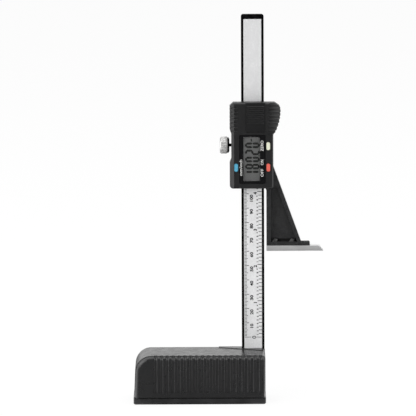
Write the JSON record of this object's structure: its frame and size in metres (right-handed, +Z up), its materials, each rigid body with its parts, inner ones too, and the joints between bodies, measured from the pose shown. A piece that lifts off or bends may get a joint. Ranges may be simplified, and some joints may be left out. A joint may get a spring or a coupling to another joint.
{
  "type": "height gauge",
  "caption": "Bench height gauge: digital slider with a lock screw, keys and a measuring blade on an upright rule beam in a fluted magnetic base.",
  "frame": {"origin": "centre of the ground plate's underside", "axes": "+Z up along the beam, -Y the front that the display faces, +X to the right, the way the blade points"},
  "size_m": [0.131, 0.0391, 0.2656],
  "materials": {
    "moulded_black": "fine grained",
    "plate_black": "satin black",
    "magnet": "nickel plated",
    "screw_dark": "blackened",
    "screw_bright": "plated",
    "composite": "carbon filled",
    "stator_copper": "bare copper",
    "label_silver": "matt printed",
    "case_grey": "fine grained",
    "bezel_black": "gloss",
    "window_clear": "clear",
    "lcd": "liquid crystal glass",
    "zebra": "elastic",
    "board_green": "solder mask",
    "chip_black": "epoxy",
    "dome_steel": "spring steel",
    "key_cream": "satin",
    "key_red": "satin",
    "key_blue": "satin",
    "cell_steel": "nickel plated",
    "contact": "plated",
    "lock_brass": "turned",
    "knob_steel": "knurled, nickel plated",
    "blade_steel": "ground"
  },
  "bodies": {
    "stand": {"base_shell": "moulded_black", "ground_plate": "plate_black", "base_magnets": "magnet", "ground_plate_screws": "screw_dark", "beam_clamp": "moulded_black", "clamp_screws": "screw_dark", "beam_screws": "screw_dark", "beam": "composite", "stator_strip": "stator_copper", "scale_label": "label_silver", "end_stop": "composite", "end_stop_screw": "screw_bright"},
    "slider": {"slider_frame": "composite", "back_plate": "composite", "back_plate_screws": "screw_bright", "lock_nut": "lock_brass", "display_case": "case_grey", "display_bezel": "bezel_black", "display_window": "window_clear", "lcd_glass": "lcd", "lcd_connectors": "zebra", "main_board": "board_green", "sensor_chip": "chip_black", "key_domes": "dome_steel", "battery": "cell_steel", "battery_contact_negative": "contact", "battery_contact_positive": "contact", "arm_bracket": "composite", "arm_screws": "screw_bright", "measuring_blade": "blade_steel", "blade_screws": "screw_bright"},
    "lock_pad_body": {"lock_pad": "lock_brass"},
    "lock_screw_body": {"lock_screw": "knob_steel"},
    "zero_key_body": {"zero_key": "key_cream"},
    "power_key_body": {"power_key": "key_red"},
    "unit_key_body": {"unit_key": "key_blue"},
    "battery_door_body": {"battery_door": "case_grey"}
  },
  "joints": [
    {"name": "slider_travel", "type": "slide", "parent": "stand", "child": "slider", "axis": [0, 0, 1], "range_m": [-0.1015, 0.05]},
    {"name": "lock_pad_advance", "type": "slide", "parent": "slider", "child": "lock_pad_body", "axis": [1, 0, 0], "range_m": [-0.00038, 0.00038]},
    {"name": "lock_screw_turn", "type": "hinge", "parent": "lock_pad_body", "child": "lock_screw_body", "pos_m": [0.018, 0.01375, 0.1752], "axis": [1, 0, 0], "range_deg": [-350, 350]},
    {"name": "zero_press", "type": "slide", "parent": "slider", "child": "zero_key_body", "axis": [0, 1, 0], "range_m": [0, 0.0005], "stiffness_N_per_m": 1500, "springref_m": -0.0001},
    {"name": "power_press", "type": "slide", "parent": "slider", "child": "power_key_body", "axis": [0, 1, 0], "range_m": [0, 0.0005], "stiffness_N_per_m": 1500, "springref_m": -0.0001},
    {"name": "unit_press", "type": "slide", "parent": "slider", "child": "unit_key_body", "axis": [0, 1, 0], "range_m": [0, 0.0005], "stiffness_N_per_m": 1500, "springref_m": -0.0001},
    {"name": "battery_door_slide", "type": "slide", "parent": "slider", "child": "battery_door_body", "axis": [0, 0, 1], "range_m": [0, 0.02]}
  ],
  "couplings": [
    {"joint": "lock_screw_turn", "follows": "lock_pad_advance", "rad_per_m": 15708}
  ]
}
